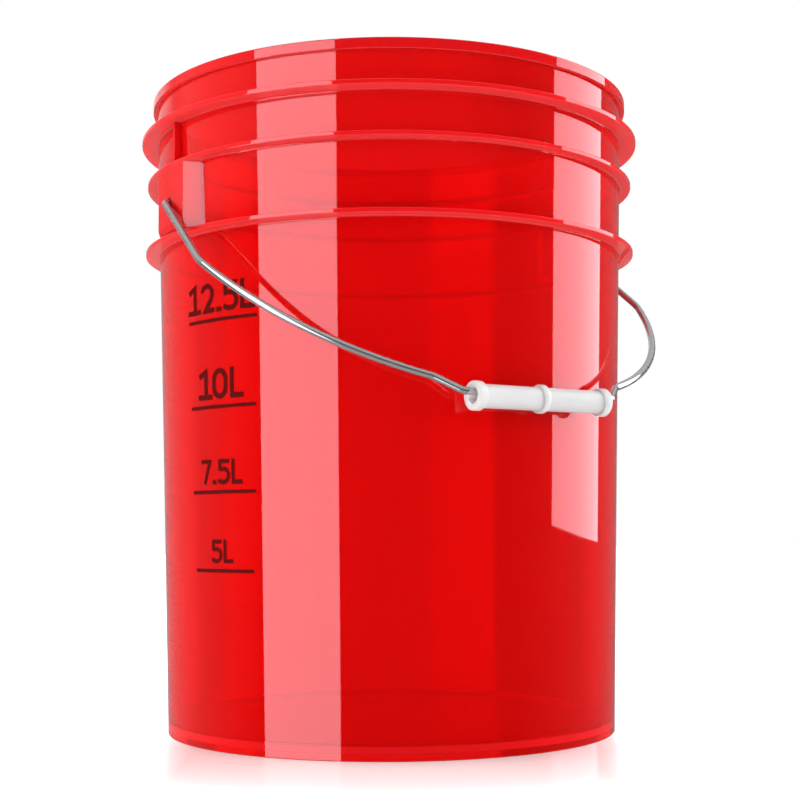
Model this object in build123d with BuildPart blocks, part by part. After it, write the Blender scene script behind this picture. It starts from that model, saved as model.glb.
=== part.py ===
from build123d import *
import os
from math import atan2, cos, degrees, radians, sin, sqrt

# Wash bucket: a moulded plastic pail with a swinging wire bail, a tubular hand grip that turns
# freely on the wire, and volume marks printed on the wall.
#
# Frame: origin on the pail's axis in the plane it stands on, +Z up, the bail's pivot axis along X.
# The bail is at rest hanging towards -Y with its grip on the wall. Units are millimetres.

# ---------------------------------------------------------------- pail

height = 372.0
base_radius = 131.1  # outer radius at the standing edge
wall_slope = 0.026  # growth of the radius per millimetre of height
wall_thickness = 2.2
skirt_height = 3.8  # the floor is raised inside a short standing skirt
skirt_thickness = 2.6
floor_thickness = 2.4
floor_corner_radius = 3.0
rim_radius = 143.25
rim_height = 5.5
rim_edge_radius = 0.8
small_edge_radius = 0.4

# stiffening rings: height of the middle, outer radius, thickness
lid_stop_ring = (346.6, 149.65, 2.6)
ear_top_ring = (320.7, 146.0, 2.4)
ear_bottom_ring = (280.1, 146.75, 2.4)
ring_root_radius = 1.0  # fillet between a ring and the wall

# ---------------------------------------------------------------- ears that carry the bail

pivot_height = 299.1
# outline seen from above: radius and half angle (degrees) of the outer face, which is curved about
# the pail's axis, then of the roots of the two slanted cheeks
ear_face_radius = 146.6
ear_outline = (ear_face_radius, 6.27, 137.8, 10.8)
pocket_outline = (144.4, 5.95, 140.0, 8.1)
ear_edge_radius = 1.2
ear_foot_radius = 5.0  # rounding at the foot of the outer face
hub_radius = 4.6
rib_thickness = 1.9
rib_reach = 9.5  # from the hub's axis to the end of a rib
rib_root_x = 138.5  # ribs, hub and gusset start here, inside the wall's thickness
gusset_edge_x = 143.9
leg_clearance = 0.7  # radial, between the wire and its hole
leg_end_gap = 0.4

# ---------------------------------------------------------------- bail and grip

# The bail lies in one plane: x is across the pail, y is the distance out from the pivot axis.
wire_radius = 2.05
bail_rest_angle = 52.0  # from straight down, towards -Y
leg_tip_x = 139.9
arm_top_x = 149.5
arm_bend_x = 153.12
arm_bend_y = 67.0
hoop_centre_y = 23.0
hoop_end_x = 61.0
grip_run_y = 182.6
grip_run_end_x = 49.2
tight_bend_radius = 4.0  # at the pivot legs and beside the grip
arm_bend_radius = 22.0

grip_half_length = 43.9
grip_tube_radius = 6.2
grip_bore_radius = 4.3
grip_collar_radius = 7.65
grip_collar_width = 4.8
grip_middle_width = 3.6
grip_root_radius = 0.5
grip_edge_radius = 0.8
grip_hang = 2.15  # the grip's axis hangs this far below the wire's

# ---------------------------------------------------------------- volume marks

# node name: text, height of the underline, half its length, height and left edge of the numerals
marks = {
    "volume_mark_12_5_l": ("12.5L", 230.3, 27.6, 16.2, -27.8),
    "volume_mark_10_l": ("10L", 183.3, 25.8, 16.5, -18.3),
    "volume_mark_7_5_l": ("7.5L", 137.5, 25.1, 13.4, -16.6),
    "volume_mark_5_l": ("5L", 95.5, 22.9, 12.4, -8.3),
}
mark_azimuth = -165.4  # degrees about +Z from +X
underline_thickness = 1.8
numeral_gap = 3.2  # from the underline's upper edge to the foot of the numerals
stroke_share = 0.165  # stroke width as a share of the numerals' height
ink_thickness = 0.15
ink_offset = 0.03  # between the wall and the ink

# room that each character takes, as a share of the numerals' height
advance = {"0": 0.86, "1": 0.76, "2": 0.79, "5": 0.80, "7": 0.68, ".": 0.40, "L": 0.60}

# ---------------------------------------------------------------- worked out from the above


def wall_radius(z):
    """Outer radius of the pail's wall at height z."""
    return base_radius + wall_slope * z


def ring_top(ring):
    """Height of a ring's upper face."""
    return ring[0] + ring[2] / 2


def ring_bottom(ring):
    """Height of a ring's lower face."""
    return ring[0] - ring[2] / 2


rings = (lid_stop_ring, ear_top_ring, ear_bottom_ring)
floor_top = skirt_height + floor_thickness
rim_bottom = height - rim_height
ear_bottom = ring_top(ear_bottom_ring)
ear_top = ring_bottom(ear_top_ring)
leg_hole_radius = wire_radius + leg_clearance
leg_hole_depth = ear_face_radius - leg_tip_x + leg_end_gap
hoop_radius = sqrt(arm_bend_x**2 + (arm_bend_y - hoop_centre_y) ** 2)
hoop_end_y = hoop_centre_y + sqrt(hoop_radius**2 - hoop_end_x**2)
rest_angle = radians(bail_rest_angle)
bail_plane = Plane(
    origin=(0, 0, pivot_height),
    x_dir=(1, 0, 0),
    z_dir=(0, cos(rest_angle), -sin(rest_angle)),
)
grip_y = -grip_run_y * sin(rest_angle)
grip_z = pivot_height - grip_run_y * cos(rest_angle) - grip_hang

os.makedirs("parts", exist_ok=True)


def write(part, name):
    """Label a finished piece and write its STEP file."""
    part.label = name
    export_step(part, f"parts/{name}.step")


# ---------------------------------------------------------------- bucket_body


def draw_ear(face_radius, face_angle, root_radius, root_angle):
    """Draw the outline of an ear, or of its pocket, on the +X side."""
    with BuildLine() as outline:
        face = CenterArc((0, 0), face_radius, -face_angle, 2 * face_angle)
        root = CenterArc((0, 0), root_radius, -root_angle, 2 * root_angle)
        Line(root @ 0, face @ 0)
        Line(root @ 1, face @ 1)
    make_face(outline.edges())


# one ear, on the +X side: a boss with a curved face, two slanted cheeks and a rounded foot
with BuildPart() as ear:
    with BuildSketch(Plane.XY.offset(ear_bottom)):
        draw_ear(*ear_outline)
    extrude(amount=ear_top - ear_bottom)
    face_edges = ear.faces().sort_by(Axis.X)[-1].edges()
    fillet(face_edges.sort_by(Axis.Z)[0], ear_foot_radius)
    fillet(ear.edges().filter_by(Axis.Z).group_by(Axis.X)[-1], ear_edge_radius)
    # a thin upright gusset above the boss, between the two upper rings
    with BuildSketch(Plane.XY.offset(ring_top(ear_top_ring))):
        with Locations((rib_root_x, 0)):
            Rectangle(gusset_edge_x - rib_root_x, rib_thickness, align=(Align.MIN, Align.CENTER))
    extrude(amount=ring_bottom(lid_stop_ring) - ring_top(ear_top_ring))

# what is hollow in an ear: a pocket behind the outer face, open upwards through the ring above it,
# with a hub and ribs left standing in it, and the blind hole for the bail's leg
with BuildPart() as ear_hollow:
    with BuildSketch(Plane.XY.offset(ear_bottom + ear_foot_radius)):
        draw_ear(*pocket_outline)
    extrude(amount=ring_top(ear_top_ring) - ear_bottom - ear_foot_radius)
    with BuildSketch(Plane.YZ.offset(rib_root_x)):
        with Locations((0, pivot_height)):
            Circle(hub_radius)
            Rectangle(2 * rib_reach, rib_thickness)
        with Locations((0, pivot_height - rib_reach)):
            Rectangle(rib_thickness, height, align=(Align.CENTER, Align.MIN))
    extrude(amount=ear_face_radius - rib_root_x, mode=Mode.SUBTRACT)
    with BuildSketch(Plane.YZ.offset(ear_face_radius)):
        with Locations((0, pivot_height)):
            Circle(leg_hole_radius)
    extrude(amount=-leg_hole_depth)

with BuildPart() as bucket_body:
    # wall, raised floor, rim and stiffening rings
    with BuildSketch(Plane.XZ) as section:
        with BuildLine():
            Polyline(
                (0, skirt_height),
                (base_radius - skirt_thickness, skirt_height),
                (base_radius - skirt_thickness, 0),
                (base_radius, 0),
                (wall_radius(rim_bottom), rim_bottom),
                (rim_radius, rim_bottom),
                (rim_radius, height),
                (wall_radius(height) - wall_thickness, height),
                (wall_radius(floor_top) - wall_thickness, floor_top),
                (0, floor_top),
                close=True,
            )
        make_face()
        for middle, radius, thickness in rings:
            root = wall_radius(middle) - wall_thickness / 2
            with Locations((root, middle)):
                Rectangle(radius - root, thickness, align=(Align.MIN, Align.CENTER))
        ring_roots = section.vertices().filter_by(
            lambda v: abs(v.X - wall_radius(v.Y)) < 0.01 and skirt_height < v.Y < rim_bottom - 1
        )
        fillet(ring_roots, ring_root_radius)
        ring_edges = section.vertices().filter_by(lambda v: v.X > rim_radius + 1)
        fillet(ring_edges, small_edge_radius)
        fillet(section.vertices().group_by(Axis.Y)[-1], rim_edge_radius)
        fillet(section.vertices().group_by(Axis.Y)[0], small_edge_radius)
        floor_corner = (wall_radius(floor_top) - wall_thickness, floor_top)
        fillet(section.vertices().sort_by_distance(floor_corner)[0], floor_corner_radius)
    revolve(axis=Axis.Z)

    for turn in (0, 180):
        add(ear.part, rotation=(0, 0, turn))
        add(ear_hollow.part, rotation=(0, 0, turn), mode=Mode.SUBTRACT)

write(bucket_body.part, "bucket_body")

# ---------------------------------------------------------------- bail_wire

with BuildPart() as bail_wire:
    with BuildLine(bail_plane) as bail_path:
        for s in (-1, 1):
            Polyline((s * leg_tip_x, 0), (s * arm_top_x, 0), (s * arm_bend_x, arm_bend_y))
            bend_angle = degrees(atan2(arm_bend_y - hoop_centre_y, s * arm_bend_x))
            end_angle = degrees(atan2(hoop_end_y - hoop_centre_y, s * hoop_end_x))
            CenterArc((0, hoop_centre_y), hoop_radius, bend_angle, end_angle - bend_angle)
            Line((s * hoop_end_x, hoop_end_y), (s * grip_run_end_x, grip_run_y))
        Line((-grip_run_end_x, grip_run_y), (grip_run_end_x, grip_run_y))
        bends = (
            (arm_top_x, 0, tight_bend_radius),
            (arm_bend_x, arm_bend_y, arm_bend_radius),
            (hoop_end_x, hoop_end_y, tight_bend_radius),
            (grip_run_end_x, grip_run_y, tight_bend_radius),
        )
        for x, y, radius in bends:
            corners = [bail_plane.from_local_coords((s * x, y, 0)) for s in (-1, 1)]
            fillet([bail_path.vertices().sort_by_distance(corner)[0] for corner in corners], radius)
    bail_line = bail_path.wire()
    with BuildSketch(Plane(origin=bail_line @ 0, z_dir=bail_line % 0)):
        Circle(wire_radius)
    sweep(path=bail_line)
    leg_ends = bail_wire.faces().filter_by(Axis.X).edges()
    fillet(leg_ends, small_edge_radius)

write(bail_wire.part, "bail_wire")

# ---------------------------------------------------------------- handle_grip

with BuildPart() as handle_grip:
    with BuildSketch(Plane(origin=(0, grip_y, grip_z), x_dir=(1, 0, 0), z_dir=(0, -1, 0))) as grip_section:
        with Locations((-grip_half_length, grip_bore_radius)):
            Rectangle(2 * grip_half_length, grip_tube_radius - grip_bore_radius, align=Align.MIN)
        collar_starts = (
            (-grip_half_length, grip_collar_width),
            (-grip_middle_width / 2, grip_middle_width),
            (grip_half_length - grip_collar_width, grip_collar_width),
        )
        for start, width in collar_starts:
            with Locations((start, grip_bore_radius)):
                Rectangle(width, grip_collar_radius - grip_bore_radius, align=Align.MIN)
        collar_roots = grip_section.vertices().filter_by(
            lambda v: abs(v.Y - grip_tube_radius) < 0.01 and abs(v.X) < grip_half_length - 1
        )
        fillet(collar_roots, grip_root_radius)
        fillet(grip_section.vertices().group_by(Axis.Y)[-1], grip_edge_radius)
        fillet(grip_section.vertices().group_by(Axis.Y)[0], small_edge_radius)
    revolve(axis=Axis((0, grip_y, grip_z), (1, 0, 0)))

write(handle_grip.part, "handle_grip")

# ---------------------------------------------------------------- volume marks


def draw_character(char, left, foot, size):
    """Draw one character as pen strokes, with its lower left corner at (left, foot)."""
    base = stroke_share / 2  # middle of a stroke that runs along the foot
    head = 1 - base

    def at(x, y):
        return (left + x * size, foot + y * size)

    with BuildLine() as strokes:
        if char == "0":
            Line(at(base, 0.36), at(base, 0.64))
            ThreePointArc(at(base, 0.64), at(0.365, head), at(0.73 - base, 0.64))
            Line(at(0.73 - base, 0.64), at(0.73 - base, 0.36))
            ThreePointArc(at(0.73 - base, 0.36), at(0.365, base), at(base, 0.36))
        elif char == "1":
            Polyline(at(0.05, 0.76), at(0.41, head), at(0.41, 0))
            Line(at(0, base), at(0.74, base))
        elif char == "2":
            ThreePointArc(at(0.08, 0.71), at(0.37, head), at(0.65, 0.67))
            ThreePointArc(at(0.65, 0.67), at(0.61, 0.51), at(0.52, 0.38))
            Polyline(at(0.52, 0.38), at(0.27, base), at(0.74, base))
        elif char == "5":
            Polyline(at(0.66, head), at(0.12, head), at(0.12, 0.6), at(0.36, 0.6))
            ThreePointArc(at(0.36, 0.6), at(0.36 + (0.6 - base) / 2, (0.6 + base) / 2), at(0.36, base))
            Polyline(at(0.36, base), at(0.21, base), at(0.03, 0.16))
        elif char == "7":
            Polyline(at(0, head), at(0.57, head), at(0.23, 0.02))
        elif char == "L":
            Polyline(at(base, 1), at(base, base), at(0.58, base))
        elif char == ".":
            Line(at(0.07, base), at(0.30, base))
    trace(strokes.edges(), line_width=stroke_share * size)


azimuth = radians(mark_azimuth)
mark_inner = base_radius - 10
mark_plane = Plane(
    origin=(mark_inner * cos(azimuth), mark_inner * sin(azimuth), 0),
    x_dir=(-sin(azimuth), cos(azimuth), 0),
    z_dir=(cos(azimuth), sin(azimuth), 0),
)
for name, (text, line_height, half_length, size, left) in marks.items():
    with BuildPart() as volume_mark:
        with BuildSketch(mark_plane):
            with Locations((0, line_height)):
                Rectangle(2 * half_length, underline_thickness)
            foot = line_height + underline_thickness / 2 + numeral_gap
            for char in text:
                draw_character(char, left, foot, size)
                left += advance[char] * size
        extrude(amount=2 * (base_radius - mark_inner))
        # keep only a thin film that follows the wall
        low = line_height - size
        high = line_height + 2 * size
        with BuildSketch(Plane.XZ):
            with BuildLine():
                inner = ink_offset
                outer = ink_offset + ink_thickness
                Polyline(
                    (wall_radius(low) + inner, low),
                    (wall_radius(low) + outer, low),
                    (wall_radius(high) + outer, high),
                    (wall_radius(high) + inner, high),
                    close=True,
                )
            make_face()
        revolve(axis=Axis.Z, mode=Mode.INTERSECT)
    write(volume_mark.part, name)
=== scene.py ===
import math

import bpy
from mathutils import Matrix, Vector


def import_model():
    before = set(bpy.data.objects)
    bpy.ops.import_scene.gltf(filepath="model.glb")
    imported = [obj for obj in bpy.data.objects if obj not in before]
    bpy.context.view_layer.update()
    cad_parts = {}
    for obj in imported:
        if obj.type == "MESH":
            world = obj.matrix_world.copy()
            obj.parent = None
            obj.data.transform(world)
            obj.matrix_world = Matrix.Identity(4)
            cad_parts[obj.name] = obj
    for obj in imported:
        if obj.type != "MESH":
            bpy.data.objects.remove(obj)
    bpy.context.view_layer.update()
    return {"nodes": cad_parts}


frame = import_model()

# Lengths are in metres and angles in radians, unless a comment says otherwise.

# ---------------------------------------------------------------- camera
CAMERA_AT = (-0.4793, -0.7380, 0.1173)
CAMERA_HEADING = (0.5502, 0.8350)
CAMERA_PITCH = 0.0882
CAMERA_ROLL = -0.0051
CAMERA_LENS = 65.58  # millimetres
CAMERA_SENSOR = 36.0  # millimetres
CAMERA_CLIP_START = 0.01

# ---------------------------------------------------------------- places on the object
BASE_RADIUS = 0.1311  # of the pail's wall, at height 0
WALL_SLOPE = 0.026  # growth of the wall's radius with height
# what stands out all round the wall: height of its middle, half its thickness
LID_STOP_RING = (0.3466, 0.0013)
EAR_TOP_RING = (0.3207, 0.0012)
EAR_BOTTOM_RING = (0.2801, 0.0012)
RIM = (0.36925, 0.00275)
RING_FADE = (0.0009, 0.0013)  # distances past that half over which a ring's look fades out
# distances outside the wall's surface over which the look of what stands out there fades in
EAR_PROUD = (0.0004, 0.0012)
RING_PROUD = (0.0001, 0.0003)
# where the painted pink sheen of the undersides goes, by which way the surface faces
FACING_DOWN = (-0.5, -0.9)  # upward part of the surface's direction: none there, full here
RIM_FADE = (0.3655, 0.3665)  # heights over which a ring's look turns into the rim's
FOOT_MIDDLE = 0.0057  # where the pail's floor meets the wall
FOOT_FADE = (0.0016, 0.0022)  # distances from there over which its look fades out
# the bore's paler look is painted light
BORE_FADE = (0.0044, 0.0047)  # distances from the grip's axis over which the bore's look fades out

# ---------------------------------------------------------------- red plastic
WALL_RED = ((0.90, 0.0072, 0.0072), (0.86, 0.0066, 0.0066))
EAR_RED = (0.90, 0.012, 0.014)
RING_RED = (0.74, 0.010, 0.012)
# painted shade: the rim's red, darker than the rings' though it is the same plastic
RIM_PAINTED_SHADE_RED = (0.62, 0.007, 0.009)
# a painted pink sheen: a lighter, pinker red on the undersides of the rings, rim and foot, which are the
# same plastic
UNDERSIDE_PAINTED_SHEEN = (0.88, 0.055, 0.058)
# how much of the light each region lets through
WALL_CLEAR = 0.70
EAR_CLEAR = 0.55
RING_CLEAR = 0.25
UNDERSIDE_CLEAR = 0.05
PLASTIC_SPECULAR = 0.5
UNDERSIDE_SPECULAR = 0.1
PLASTIC_IOR = 1.49

# ---------------------------------------------------------------- other colours
STEEL_GRAY = ((0.36, 0.36, 0.365), (0.43, 0.43, 0.43))
GRIP_WHITE = ((0.48, 0.48, 0.485), (0.52, 0.52, 0.52))
# painted light: the bore is the tube's own plastic, painted much paler to look lit
BORE_PAINTED_LIGHT = (0.95, 0.95, 0.95)
INK_RED = ((0.052, 0.004, 0.0035), (0.080, 0.006, 0.0055))
FLOOR_WHITE = ((0.94, 0.94, 0.94), (0.96, 0.96, 0.96))
SOFTBOX_COLOR = (0.94, 0.96, 1.03)

# ---------------------------------------------------------------- studio
FLOOR_HALF = 6.0
FLOOR_IOR = 1.45
FLOOR_SPECULAR = 0.62  # close to the pail, in front of it
FLOOR_SPECULAR_REACH = (0.22, 0.13)  # distances from the pail's axis: none there, full here
FLOOR_FRONT = (-0.02, -0.05)  # places along the camera's heading: none there, full here
FLOOR_SIDE = (0.125, 0.105)  # distances across it: none there, full here
FLOOR_GLOW = 0.30  # where the floor isn't glossy
FLOOR_GLOW_REACH = (0.9, 0.3)  # distances from the pail's axis: none there, full here

SOFTBOX_DISTANCE = 2.5
SOFTBOX_TOP = 2.4

# The surroundings. Height, along and across are those of a direction of length 1, so -1 to 1.
# A rise is where a brightness starts, where it is full, and how much it then is.

# seen in gloss
GLOSS_AHEAD = (-0.4, 0.9, 0.35)  # along
GLOSS_RIGHT_SHARE = 0.60  # what is left of that on the right
GLOSS_MIDDLE = (-0.1, 0.1)  # across, where left turns into right
GLOSS_ABOVE = (0.32, 0.55, 0.8)  # height
GLOSS_BELOW = (-0.30, -0.5, 0.55)  # height
GLOSS_FAR_AHEAD = (0.965, 0.995, 0.6)  # along
GLOSS_LEFT_UPPER = (0.17, 0.20, 0.25)  # height
GLOSS_LEFT_EDGE = (-0.80, -0.90)  # across
# a bright corner, high up ahead and to the left
CORNER_HEIGHT = (0.2, 0.3)
CORNER_ALONG = (0.5, 0.72)
CORNER_ACROSS = (0.2, -0.2)

# light on dull surfaces
DOME_LOW = 0.40
DOME_HIGH = 1.15
LIGHT_FROM_LEFT = (-0.7, -1.0, 9.6)  # across
LIGHT_FROM_RIGHT = (0.7, 1.0, 7.6)  # across
HORIZON = (-0.01, 0.01)  # height

# seen through the plastic, where a slope is across / along
BEHIND_PLASTIC = 0.74
BACKDROP_AHEAD = (0.6, 0.8)  # along
BACKDROP_LEFT = 1.2
# upright steps from left to right: slope, and change of brightness there
BACKDROP_STEPS = ((-0.1740, -0.90), (-0.1380, 0.68), (-0.1043, -0.11), (0.0703, -0.67), (0.1610, 0.80))
STEP_SOFTNESS = 0.001
PANEL = (0.0213, 0.0703)  # slopes at the edges of a lighter panel
PANEL_RISE = (-0.110, -0.106, 0.17)  # height
# from the first to the second of these heights, the rays come to pass over the back of the rim
OVER_RIM = (0.225, 0.25)
OVER_RIM_RIGHT = (0.045, 0.085, -0.27)  # slope
OVER_RIM_LEFT = (-0.10, -0.13, 0.2)  # slope


# ---------------------------------------------------------------- node helpers
class Nodes:
    """Short ways to add nodes to one node tree."""

    def __init__(self, tree):
        self.nodes = tree.nodes
        self.links = tree.links

    def node(self, kind, values=None, **settings):
        made = self.nodes.new(kind)
        for key, value in settings.items():
            setattr(made, key, value)
        for key, value in (values or {}).items():
            made.inputs[key].default_value = value
        return made

    def join(self, source, target):
        self.links.new(source, target)

    def feed(self, source, target):
        """Give a socket a number, a colour or another node's output."""
        if isinstance(source, (int, float)):
            target.default_value = source
        elif isinstance(source, tuple):
            target.default_value = (*source, 1.0)
        else:
            self.join(source, target)

    def math(self, operation, *sources):
        made = self.node("ShaderNodeMath", operation=operation)
        for index, source in enumerate(sources):
            self.feed(source, made.inputs[index])
        return made.outputs[0]

    def chain(self, operation, first, *others):
        """Take several values together by one operation."""
        for other in others:
            first = self.math(operation, first, other)
        return first

    def ramp(self, source, low, high, start, end):
        """Map low..high to start..end, and hold the ends."""
        values = {"From Min": low, "From Max": high, "To Min": start, "To Max": end}
        made = self.node("ShaderNodeMapRange", values)
        self.join(source, made.inputs["Value"])
        return made.outputs["Result"]

    def fade(self, source, none_at, full_at):
        """Rise from 0 to 1 between two values of source."""
        return self.ramp(source, none_at, full_at, 0.0, 1.0)

    def rise(self, source, rise):
        """Go from 0 to an amount between two values of source."""
        none_at, full_at, amount = rise
        return self.ramp(source, none_at, full_at, 0.0, amount)

    def between(self, factor, first, second):
        """Go from first to second as factor goes from 0 to 1."""
        return self.ramp(factor, 0.0, 1.0, first, second)

    def split(self, vector):
        made = self.node("ShaderNodeSeparateXYZ")
        self.join(vector, made.inputs[0])
        return [made.outputs[axis] for axis in "XYZ"]

    def along_across(self, x, y):
        """Turn X and Y into distances along and across the camera's heading."""
        ahead_x, ahead_y = CAMERA_HEADING
        along = self.math("ADD", self.math("MULTIPLY", x, ahead_x), self.math("MULTIPLY", y, ahead_y))
        across = self.math("SUBTRACT", self.math("MULTIPLY", x, ahead_y), self.math("MULTIPLY", y, ahead_x))
        return along, across


class Look(Nodes):
    """One material and its node tree."""

    def __init__(self, name):
        self.material = bpy.data.materials.new(name)
        self.material.use_nodes = True
        super().__init__(self.material.node_tree)
        self.shader = self.nodes["Principled BSDF"]
        self.place = self.node("ShaderNodeTexCoord").outputs["Object"]

    def noise(self, scale, detail, roughness=0.5):
        values = {"Scale": scale, "Detail": detail, "Roughness": roughness}
        made = self.node("ShaderNodeTexNoise", values)
        self.join(self.place, made.inputs["Vector"])
        return made.outputs["Fac"]

    def mixed(self, factor, first, second):
        made = self.node("ShaderNodeMix", data_type="RGBA")
        # the node's colour sockets are inputs 6 and 7 and output 2
        for index, source in ((0, factor), (6, first), (7, second)):
            self.feed(source, made.inputs[index])
        return made.outputs[2]

    def rough(self, grain, least, most, spread=0.2):
        """Vary the roughness as the grain goes over the middle of its range."""
        self.drive("Roughness", self.ramp(grain, 0.5 - spread, 0.5 + spread, least, most))

    def bump(self, height, strength, distance):
        made = self.node("ShaderNodeBump", {"Strength": strength, "Distance": distance})
        self.join(height, made.inputs["Height"])
        self.join(made.outputs["Normal"], self.shader.inputs["Normal"])

    def set(self, **values):
        for key, value in values.items():
            self.shader.inputs[key.replace("_", " ")].default_value = value

    def drive(self, name, source):
        self.join(source, self.shader.inputs[name])


# ---------------------------------------------------------------- materials
def distance_from_axis(look):
    """Distance of a point from the pail's upright axis."""
    flat = look.node("ShaderNodeVectorMath", operation="MULTIPLY")
    flat.inputs[1].default_value = (1, 1, 0)
    look.join(look.place, flat.inputs[0])
    reach = look.node("ShaderNodeVectorMath", operation="LENGTH")
    look.join(flat.outputs[0], reach.inputs[0])
    return reach.outputs["Value"]


def pail_regions(look):
    """Masks: all that stands out, then rings, rim and foot, the rim alone for its painted shade, and their
    undersides for a painted pink sheen.
    """
    height = look.split(look.place)[2]
    wall = look.math("MULTIPLY_ADD", height, WALL_SLOPE, BASE_RADIUS)
    beyond = look.math("SUBTRACT", distance_from_axis(look), wall)
    proud = look.fade(beyond, *EAR_PROUD)
    level = 0.0
    full_past, none_past = RING_FADE
    for middle, half in (LID_STOP_RING, EAR_TOP_RING, EAR_BOTTOM_RING, RIM):
        away = look.math("ABSOLUTE", look.math("SUBTRACT", height, middle))
        level = look.math("MAXIMUM", level, look.fade(away, half + none_past, half + full_past))
    ring = look.math("MULTIPLY", look.fade(beyond, *RING_PROUD), level)
    foot_full, foot_none = FOOT_FADE
    foot_away = look.math("ABSOLUTE", look.math("SUBTRACT", height, FOOT_MIDDLE))
    thick = look.math("MAXIMUM", ring, look.fade(foot_away, foot_none, foot_full))
    # the rim alone, where the red is darkened by painted shade
    rim_painted_shade = look.math("MULTIPLY", thick, look.fade(height, *RIM_FADE))
    normal = look.node("ShaderNodeNewGeometry").outputs["Normal"]
    facing_up = look.split(normal)[2]
    # the downward-facing parts, which get a painted pink sheen
    under = look.math("MULTIPLY", look.fade(facing_up, *FACING_DOWN), thick)
    return proud, thick, rim_painted_shade, under


def red_plastic():
    """Glossy plastic, clear in the thin wall and denser in the ears, rings and rim, with painted shade
    darkening the rim and a painted pink sheen on the undersides.
    """
    look = Look("red_plastic_look")
    look.set(IOR=PLASTIC_IOR)
    proud, thick, rim_painted_shade, under = pail_regions(look)
    color = look.mixed(look.noise(scale=9.0, detail=3.0), *WALL_RED)
    # the rim's darker red is painted shade, and the undersides' pinker red is a painted sheen
    for mask, red in ((proud, EAR_RED), (thick, RING_RED), (rim_painted_shade, RIM_PAINTED_SHADE_RED), (under, UNDERSIDE_PAINTED_SHEEN)):
        color = look.mixed(mask, color, red)
    look.drive("Base Color", color)
    ear_clear = look.between(proud, WALL_CLEAR, EAR_CLEAR)
    ring_clear = look.between(thick, WALL_CLEAR, RING_CLEAR)
    under_clear = look.between(under, WALL_CLEAR, UNDERSIDE_CLEAR)
    look.drive("Transmission Weight", look.chain("MINIMUM", ear_clear, ring_clear, under_clear))
    look.drive("Specular IOR Level", look.between(under, PLASTIC_SPECULAR, UNDERSIDE_SPECULAR))
    look.rough(look.noise(scale=160.0, detail=2.0), least=0.0, most=0.03, spread=0.15)
    look.bump(look.noise(scale=22.0, detail=1.0), strength=0.5, distance=0.00002)
    return look.material


def steel():
    """Bright drawn wire with a fine grain."""
    look = Look("steel_wire_look")
    look.set(Metallic=0.82)
    grain = look.noise(scale=900.0, detail=4.0, roughness=0.6)
    look.drive("Base Color", look.mixed(grain, *STEEL_GRAY))
    look.rough(look.noise(scale=140.0, detail=3.0), least=0.05, most=0.12)
    look.bump(grain, strength=0.15, distance=0.00005)
    return look.material


def middle_of(name):
    """Middle of a CAD node's own box."""
    corners = [Vector(corner) for corner in frame["nodes"][name].bound_box]
    return sum(corners, Vector()) / len(corners)


def white_plastic():
    """Soft white plastic, with painted light making the inside of the grip's bore paler."""
    look = Look("white_plastic_look")
    axis = middle_of("handle_grip")
    _, y, z = look.split(look.place)
    squares = []
    for value, at in ((y, axis.y), (z, axis.z)):
        offset = look.math("SUBTRACT", value, at)
        squares.append(look.math("MULTIPLY", offset, offset))
    from_axis = look.math("SQRT", look.math("ADD", *squares))
    bore_full, bore_none = BORE_FADE
    # painted light over the bore's inner surface, fading out towards the tube
    bore_painted_light = look.fade(from_axis, bore_none, bore_full)
    tube = look.mixed(look.noise(scale=45.0, detail=3.0), *GRIP_WHITE)
    look.drive("Base Color", look.mixed(bore_painted_light, tube, BORE_PAINTED_LIGHT))
    look.set(Specular_IOR_Level=0.35)
    look.set(Subsurface_Weight=0.8, Subsurface_Scale=0.006, Subsurface_Radius=(1.0, 1.0, 1.0))
    look.rough(look.noise(scale=260.0, detail=2.0), least=0.28, most=0.38)
    look.bump(look.noise(scale=700.0, detail=3.0), strength=0.2, distance=0.00005)
    return look.material


def ink():
    """Dull dark red-brown printing ink."""
    look = Look("mark_ink_look")
    look.set(Specular_IOR_Level=0.0)
    grain = look.noise(scale=1400.0, detail=3.0, roughness=0.6)
    look.drive("Base Color", look.mixed(grain, *INK_RED))
    look.rough(grain, least=0.45, most=0.6)
    return look.material


def dress(material, *names):
    for name in names:
        for slot in frame["nodes"][name].material_slots:
            slot.material = material


dress(red_plastic(), "bucket_body")
dress(steel(), "bail_wire")
dress(white_plastic(), "handle_grip")
dress(ink(), "volume_mark_12_5_l", "volume_mark_10_l", "volume_mark_7_5_l", "volume_mark_5_l")


# ---------------------------------------------------------------- studio
def floor_look():
    """A pale floor, glossy just in front of the pail and faintly glowing elsewhere around it."""
    look = Look("studio_floor_look")
    look.set(IOR=FLOOR_IOR)
    tone = look.noise(scale=3.0, detail=4.0)
    look.drive("Base Color", look.mixed(tone, *FLOOR_WHITE))
    look.rough(tone, least=0.11, most=0.14)
    reach = distance_from_axis(look)
    x, y, _ = look.split(look.place)
    along, across = look.along_across(x, y)
    in_front = look.fade(along, *FLOOR_FRONT)
    beside = look.fade(look.math("ABSOLUTE", across), *FLOOR_SIDE)
    front = look.math("MULTIPLY", in_front, beside)
    near = look.ramp(reach, *FLOOR_SPECULAR_REACH, 0.0, FLOOR_SPECULAR)
    look.drive("Specular IOR Level", look.math("MULTIPLY", near, front))
    look.set(Emission_Color=(1.0, 1.0, 1.0, 1.0))
    glow = look.between(front, FLOOR_GLOW, 0.0)
    look.drive("Emission Strength", look.math("MULTIPLY", glow, look.fade(reach, *FLOOR_GLOW_REACH)))
    return look.material


def floor():
    """A plain square that doesn't show in gloss or through the plastic."""
    half = FLOOR_HALF
    corners = [(-half, -half, 0), (half, -half, 0), (half, half, 0), (-half, half, 0)]
    mesh = bpy.data.meshes.new("studio_floor")
    mesh.from_pydata(corners, [], [(0, 1, 2, 3)])
    mesh.materials.append(floor_look())
    piece = bpy.data.objects.new("studio_floor", mesh)
    bpy.context.scene.collection.objects.link(piece)
    piece.visible_glossy = False
    piece.visible_transmission = False


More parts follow.
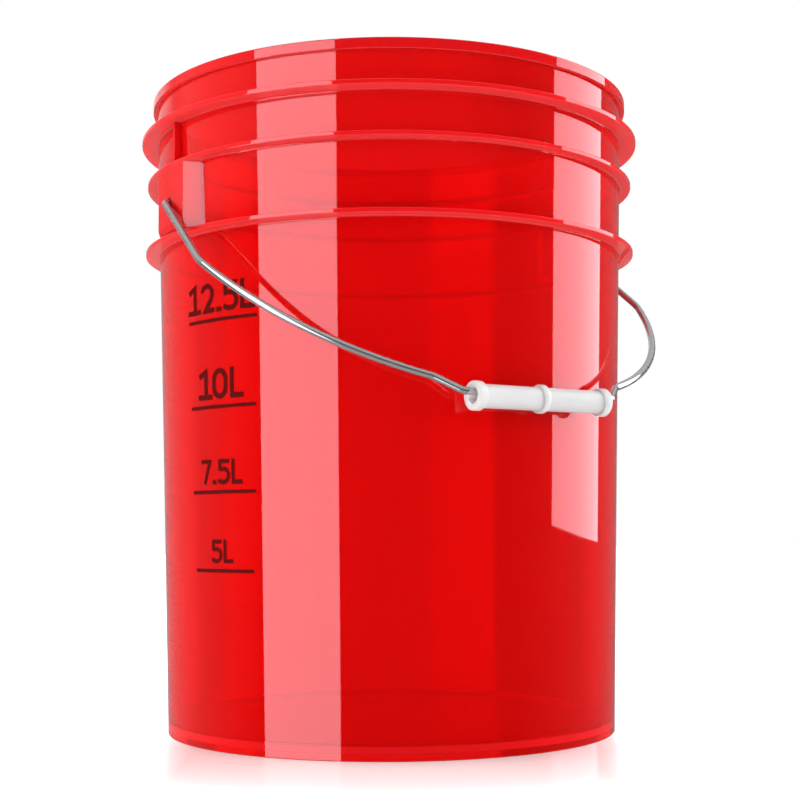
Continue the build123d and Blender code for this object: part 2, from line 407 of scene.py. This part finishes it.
def softbox(name, start, end, low, power, fade):
    """An upright area light. start, end: azimuths of its edges in degrees; low: height of its foot."""
    edges = []
    for azimuth in (math.radians(start), math.radians(end)):
        edges.append(Vector((math.cos(azimuth), math.sin(azimuth), 0)) * SOFTBOX_DISTANCE)
    width = (edges[1] - edges[0]).length
    middle = (edges[0] + edges[1]) / 2
    out = middle.normalized()
    up = Vector((0, 0, 1))
    side = up.cross(out)
    tall = SOFTBOX_TOP - low
    middle.z = (low + SOFTBOX_TOP) / 2
    light = bpy.data.lights.new(name, "AREA")
    light.shape = "RECTANGLE"
    light.size = width
    light.size_y = tall
    light.energy = power * width * tall * math.pi
    light.color = SOFTBOX_COLOR
    light.use_nodes = True
    # from full brightness at the first edge to fade at the other
    nodes = Nodes(light.node_tree)
    spot = nodes.node("ShaderNodeNewGeometry").outputs["Parametric"]
    strength = nodes.between(nodes.split(spot)[0], 1.0, fade)
    nodes.join(strength, nodes.nodes["Emission"].inputs["Strength"])
    lamp = bpy.data.objects.new(name, light)
    bpy.context.scene.collection.objects.link(lamp)
    turn = Matrix((side, up, out)).transposed().to_4x4()
    lamp.matrix_world = Matrix.Translation(middle) @ turn
    lamp.visible_camera = False
    lamp.visible_diffuse = False


def seen_in_gloss(sky, height, along, across):
    """Dark on the camera's side, brighter ahead, above and below, and at the upper left."""
    right = sky.ramp(across, *GLOSS_MIDDLE, 1.0, GLOSS_RIGHT_SHARE)
    ahead = sky.math("MULTIPLY", sky.rise(along, GLOSS_AHEAD), right)
    corner = sky.chain(
        "MULTIPLY",
        sky.fade(height, *CORNER_HEIGHT),
        sky.fade(along, *CORNER_ALONG),
        sky.fade(across, *CORNER_ACROSS),
    )
    above = sky.rise(height, GLOSS_ABOVE)
    below = sky.rise(height, GLOSS_BELOW)
    base = sky.chain("MAXIMUM", ahead, corner, above, below)
    far_ahead = sky.rise(along, GLOSS_FAR_AHEAD)
    left = sky.math("MULTIPLY", sky.rise(height, GLOSS_LEFT_UPPER), sky.fade(across, *GLOSS_LEFT_EDGE))
    return sky.chain("ADD", base, far_ahead, left)


def light_on_dull(sky, height, across):
    """A white dome, stronger from above, and much light from both sides over the horizon."""
    dome = sky.ramp(height, 0.0, 1.0, DOME_LOW, DOME_HIGH)
    sides = sky.math("ADD", sky.rise(across, LIGHT_FROM_LEFT), sky.rise(across, LIGHT_FROM_RIGHT))
    return sky.math("ADD", dome, sky.math("MULTIPLY", sides, sky.fade(height, *HORIZON)))


def seen_through_plastic(sky, height, along, across):
    """A pale backdrop with upright panels of different brightness ahead, and plain elsewhere."""
    slope = sky.math("DIVIDE", across, along)

    def edge(at, before, after):
        return sky.ramp(slope, at - STEP_SOFTNESS, at + STEP_SOFTNESS, before, after)

    lower = BACKDROP_LEFT
    for at, change in BACKDROP_STEPS:
        lower = sky.math("ADD", lower, edge(at, 0.0, change))
    start, end = PANEL
    inside = sky.math("MULTIPLY", edge(start, 0.0, 1.0), edge(end, 1.0, 0.0))
    lower = sky.math("ADD", lower, sky.math("MULTIPLY", inside, sky.rise(height, PANEL_RISE)))
    on_right, on_left = sky.rise(slope, OVER_RIM_RIGHT), sky.rise(slope, OVER_RIM_LEFT)
    upper = sky.chain("ADD", BEHIND_PLASTIC, on_right, on_left)
    over = sky.fade(height, *OVER_RIM)
    under = sky.math("SUBTRACT", 1.0, over)
    backdrop = sky.math("ADD", sky.math("MULTIPLY", lower, under), sky.math("MULTIPLY", upper, over))
    ahead = sky.fade(along, *BACKDROP_AHEAD)
    elsewhere = sky.between(ahead, BEHIND_PLASTIC, 0.0)
    return sky.math("ADD", sky.math("MULTIPLY", backdrop, ahead), elsewhere)


def world():
    """What each kind of ray meets outside the scene: the camera's own rays meet plain white."""
    studio = bpy.data.worlds.new("studio")
    bpy.context.scene.world = studio
    studio.use_nodes = True
    studio.cycles.sampling_method = "NONE"
    studio.node_tree.nodes.clear()
    sky = Nodes(studio.node_tree)
    x, y, height = sky.split(sky.node("ShaderNodeTexCoord").outputs["Generated"])
    along, across = sky.along_across(x, y)
    ray = sky.node("ShaderNodeLightPath").outputs
    seen, through = ray["Is Camera Ray"], ray["Is Transmission Ray"]
    other = sky.math("SUBTRACT", 1.0, sky.math("ADD", seen, through))
    mirror = sky.math("MULTIPLY", other, ray["Is Glossy Ray"])
    dull = sky.math("SUBTRACT", other, mirror)
    strength = sky.chain(
        "ADD",
        seen,
        sky.math("MULTIPLY", through, seen_through_plastic(sky, height, along, across)),
        sky.math("MULTIPLY", mirror, seen_in_gloss(sky, height, along, across)),
        sky.math("MULTIPLY", dull, light_on_dull(sky, height, across)),
    )
    backdrop = sky.node("ShaderNodeBackground", {"Color": (1, 1, 1, 1)})
    sky.join(strength, backdrop.inputs["Strength"])
    sky.join(backdrop.outputs[0], sky.node("ShaderNodeOutputWorld").inputs[0])


def camera():
    data = bpy.data.cameras.new("camera")
    data.lens = CAMERA_LENS
    data.sensor_width = CAMERA_SENSOR
    data.clip_start = CAMERA_CLIP_START
    piece = bpy.data.objects.new("camera", data)
    bpy.context.scene.collection.objects.link(piece)
    bpy.context.scene.camera = piece
    heading = Vector((*CAMERA_HEADING, 0)).normalized()
    forward = heading * math.cos(CAMERA_PITCH) + Vector((0, 0, math.sin(CAMERA_PITCH)))
    right = heading.cross(Vector((0, 0, 1))).normalized()
    up = right.cross(forward).normalized()
    turn = Matrix((right, up, -forward)).transposed().to_4x4()
    piece.matrix_world = Matrix.Translation(CAMERA_AT) @ turn @ Matrix.Rotation(CAMERA_ROLL, 4, "Z")


floor()
softbox("softbox_left", start=-186.4, end=-147.1, low=-1.2, power=5.0, fade=1.0)
softbox("softbox_right", start=-39.8, end=-0.5, low=0.036, power=4.45, fade=0.95)
world()
camera()
bpy.context.scene.view_settings.view_transform = "Standard"
